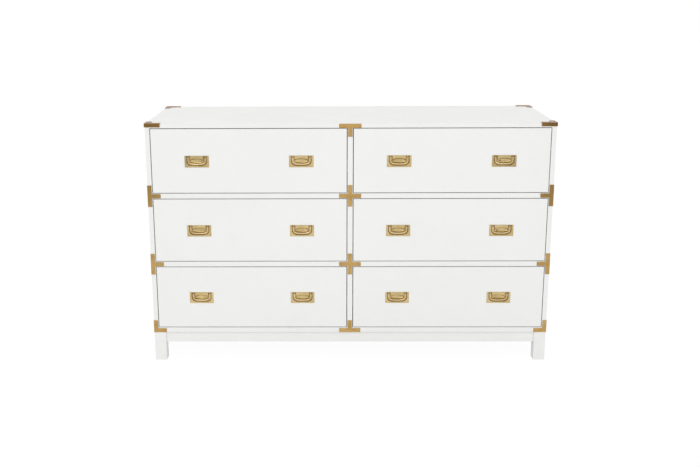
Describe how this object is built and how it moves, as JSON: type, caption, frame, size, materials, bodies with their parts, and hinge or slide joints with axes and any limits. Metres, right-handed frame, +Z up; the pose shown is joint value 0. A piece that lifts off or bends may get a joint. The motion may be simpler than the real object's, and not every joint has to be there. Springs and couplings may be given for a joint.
{
  "type": "campaign chest",
  "caption": "Low wide chest of inset drawers on short square legs, with metal corner caps, straps at the joints and flush pulls with hanging bails.",
  "frame": {"origin": "on the floor, under the middle of the chest", "axes": "+X along the width, to the right as seen from the front; +Y from the drawer fronts to the back; +Z up"},
  "size_m": [1.455, 0.51, 0.889],
  "materials": {
    "white_lacquer": "smooth satin white lacquer",
    "drawer_wood": "clear sealed pale hardwood",
    "back_board": "painted fibreboard",
    "brass": "brushed antique brass",
    "slide_steel": "zinc plated",
    "glide_plastic": "moulded nylon"
  },
  "bodies": {
    "case": {"top_panel": "white_lacquer", "bottom_panel": "white_lacquer", "centre_partition": "white_lacquer", "side_panel_left": "white_lacquer", "side_panel_right": "white_lacquer", "front_rails": "white_lacquer", "legs": "white_lacquer", "aprons": "white_lacquer", "rear_rails": "drawer_wood", "back_panel": "back_board", "corner_braces": "drawer_wood", "leg_glides": "glide_plastic", "top_corner_caps": "brass", "bottom_corner_straps": "brass", "side_tee_straps": "brass", "centre_cross_straps": "brass", "centre_tee_straps": "brass", "case_slides": "slide_steel"},
    "bottom_left_drawer": {"bottom_left_front": "white_lacquer", "bottom_left_box": "drawer_wood", "bottom_left_bottom": "drawer_wood", "bottom_left_slides": "slide_steel", "bottom_left_pull_plates": "brass"},
    "bottom_left_bail_left": {"bottom_left_bail_left": "brass"},
    "bottom_left_bail_right": {"bottom_left_bail_right": "brass"},
    "middle_left_drawer": {"middle_left_front": "white_lacquer", "middle_left_box": "drawer_wood", "middle_left_bottom": "drawer_wood", "middle_left_slides": "slide_steel", "middle_left_pull_plates": "brass"},
    "middle_left_bail_left": {"middle_left_bail_left": "brass"},
    "middle_left_bail_right": {"middle_left_bail_right": "brass"},
    "top_left_drawer": {"top_left_front": "white_lacquer", "top_left_box": "drawer_wood", "top_left_bottom": "drawer_wood", "top_left_slides": "slide_steel", "top_left_pull_plates": "brass"},
    "top_left_bail_left": {"top_left_bail_left": "brass"},
    "top_left_bail_right": {"top_left_bail_right": "brass"},
    "bottom_right_drawer": {"bottom_right_front": "white_lacquer", "bottom_right_box": "drawer_wood", "bottom_right_bottom": "drawer_wood", "bottom_right_slides": "slide_steel", "bottom_right_pull_plates": "brass"},
    "bottom_right_bail_left": {"bottom_right_bail_left": "brass"},
    "bottom_right_bail_right": {"bottom_right_bail_right": "brass"},
    "middle_right_drawer": {"middle_right_front": "white_lacquer", "middle_right_box": "drawer_wood", "middle_right_bottom": "drawer_wood", "middle_right_slides": "slide_steel", "middle_right_pull_plates": "brass"},
    "middle_right_bail_left": {"middle_right_bail_left": "brass"},
    "middle_right_bail_right": {"middle_right_bail_right": "brass"},
    "top_right_drawer": {"top_right_front": "white_lacquer", "top_right_box": "drawer_wood", "top_right_bottom": "drawer_wood", "top_right_slides": "slide_steel", "top_right_pull_plates": "brass"},
    "top_right_bail_left": {"top_right_bail_left": "brass"},
    "top_right_bail_right": {"top_right_bail_right": "brass"}
  },
  "joints": [
    {"name": "bottom_left_drawer_slide", "type": "slide", "parent": "case", "child": "bottom_left_drawer", "axis": [0, -1, 0], "range_m": [0, 0.35]},
    {"name": "bottom_left_bail_left_swing", "type": "hinge", "parent": "bottom_left_drawer", "child": "bottom_left_bail_left", "pos_m": [-0.545, -0.2519, 0.2576], "axis": [-1, 0, 0], "range_deg": [0, 90]},
    {"name": "bottom_left_bail_right_swing", "type": "hinge", "parent": "bottom_left_drawer", "child": "bottom_left_bail_right", "pos_m": [-0.1735, -0.2519, 0.2576], "axis": [-1, 0, 0], "range_deg": [0, 90]},
    {"name": "middle_left_drawer_slide", "type": "slide", "parent": "case", "child": "middle_left_drawer", "axis": [0, -1, 0], "range_m": [0, 0.35]},
    {"name": "middle_left_bail_left_swing", "type": "hinge", "parent": "middle_left_drawer", "child": "middle_left_bail_left", "pos_m": [-0.545, -0.2519, 0.5111], "axis": [-1, 0, 0], "range_deg": [0, 90]},
    {"name": "middle_left_bail_right_swing", "type": "hinge", "parent": "middle_left_drawer", "child": "middle_left_bail_right", "pos_m": [-0.1735, -0.2519, 0.5111], "axis": [-1, 0, 0], "range_deg": [0, 90]},
    {"name": "top_left_drawer_slide", "type": "slide", "parent": "case", "child": "top_left_drawer", "axis": [0, -1, 0], "range_m": [0, 0.35]},
    {"name": "top_left_bail_left_swing", "type": "hinge", "parent": "top_left_drawer", "child": "top_left_bail_left", "pos_m": [-0.545, -0.2519, 0.7646], "axis": [-1, 0, 0], "range_deg": [0, 90]},
    {"name": "top_left_bail_right_swing", "type": "hinge", "parent": "top_left_drawer", "child": "top_left_bail_right", "pos_m": [-0.1735, -0.2519, 0.7646], "axis": [-1, 0, 0], "range_deg": [0, 90]},
    {"name": "bottom_right_drawer_slide", "type": "slide", "parent": "case", "child": "bottom_right_drawer", "axis": [0, -1, 0], "range_m": [0, 0.35]},
    {"name": "bottom_right_bail_left_swing", "type": "hinge", "parent": "bottom_right_drawer", "child": "bottom_right_bail_left", "pos_m": [0.1735, -0.2519, 0.2576], "axis": [-1, 0, 0], "range_deg": [0, 90]},
    {"name": "bottom_right_bail_right_swing", "type": "hinge", "parent": "bottom_right_drawer", "child": "bottom_right_bail_right", "pos_m": [0.545, -0.2519, 0.2576], "axis": [-1, 0, 0], "range_deg": [0, 90]},
    {"name": "middle_right_drawer_slide", "type": "slide", "parent": "case", "child": "middle_right_drawer", "axis": [0, -1, 0], "range_m": [0, 0.35]},
    {"name": "middle_right_bail_left_swing", "type": "hinge", "parent": "middle_right_drawer", "child": "middle_right_bail_left", "pos_m": [0.1735, -0.2519, 0.5111], "axis": [-1, 0, 0], "range_deg": [0, 90]},
    {"name": "middle_right_bail_right_swing", "type": "hinge", "parent": "middle_right_drawer", "child": "middle_right_bail_right", "pos_m": [0.545, -0.2519, 0.5111], "axis": [-1, 0, 0], "range_deg": [0, 90]},
    {"name": "top_right_drawer_slide", "type": "slide", "parent": "case", "child": "top_right_drawer", "axis": [0, -1, 0], "range_m": [0, 0.35]},
    {"name": "top_right_bail_left_swing", "type": "hinge", "parent": "top_right_drawer", "child": "top_right_bail_left", "pos_m": [0.1735, -0.2519, 0.7646], "axis": [-1, 0, 0], "range_deg": [0, 90]},
    {"name": "top_right_bail_right_swing", "type": "hinge", "parent": "top_right_drawer", "child": "top_right_bail_right", "pos_m": [0.545, -0.2519, 0.7646], "axis": [-1, 0, 0], "range_deg": [0, 90]}
  ]
}
